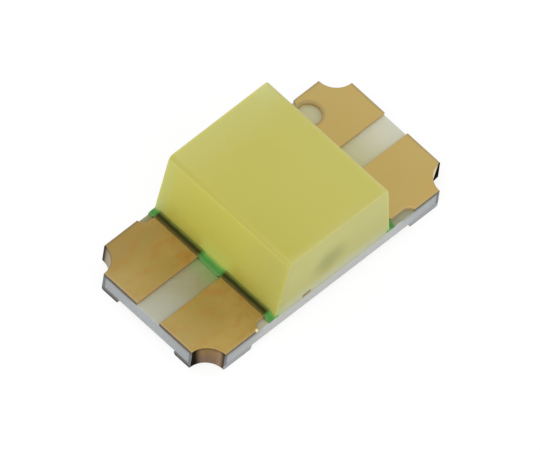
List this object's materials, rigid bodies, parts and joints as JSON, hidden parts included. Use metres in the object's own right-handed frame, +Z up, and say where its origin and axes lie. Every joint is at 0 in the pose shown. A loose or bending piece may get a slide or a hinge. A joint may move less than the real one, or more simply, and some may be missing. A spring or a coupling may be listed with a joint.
{
  "type": "smd led",
  "caption": "Surface-mount light-emitting diode: milky yellow lens block across a thin white board with gold corner terminals, notched corners and green solder-mask lines.",
  "frame": {"origin": "centre of the board's outline, on the plane of the solder pads' undersides", "axes": "+X along the board towards the end with the dies and the round polarity mark, +Y across the board towards the row with the mark, +Z up out of the lens"},
  "size_m": [0.0032, 0.0016, 0.001],
  "materials": {
    "laminate": "sawn glass-fibre epoxy, satin",
    "gold_plating": "satin gold plating over copper",
    "solder_mask": "glossy green lacquer",
    "encapsulant": "milky yellow, satin",
    "die_crystal": "polished crystal",
    "die_adhesive": "clear cured adhesive",
    "contact_metal": "evaporated gold",
    "bond_gold": "drawn gold wire"
  },
  "bodies": {
    "root": {"anode_contact_back": "contact_metal", "anode_contact_front": "contact_metal", "anode_wire_back": "bond_gold", "anode_wire_front": "bond_gold", "cathode_contact_back": "contact_metal", "cathode_contact_front": "contact_metal", "cathode_wire_back": "bond_gold", "cathode_wire_front": "bond_gold", "die_attach_back": "die_adhesive", "die_attach_front": "die_adhesive", "laminate_core": "laminate", "led_die_back": "die_crystal", "led_die_front": "die_crystal", "lens": "encapsulant", "solder_mask_left": "solder_mask", "solder_mask_right": "solder_mask", "terminal_back_left": "gold_plating", "terminal_back_right": "gold_plating", "terminal_front_left": "gold_plating", "terminal_front_right": "gold_plating", "underside_mark": "solder_mask"}
  },
  "joints": []
}
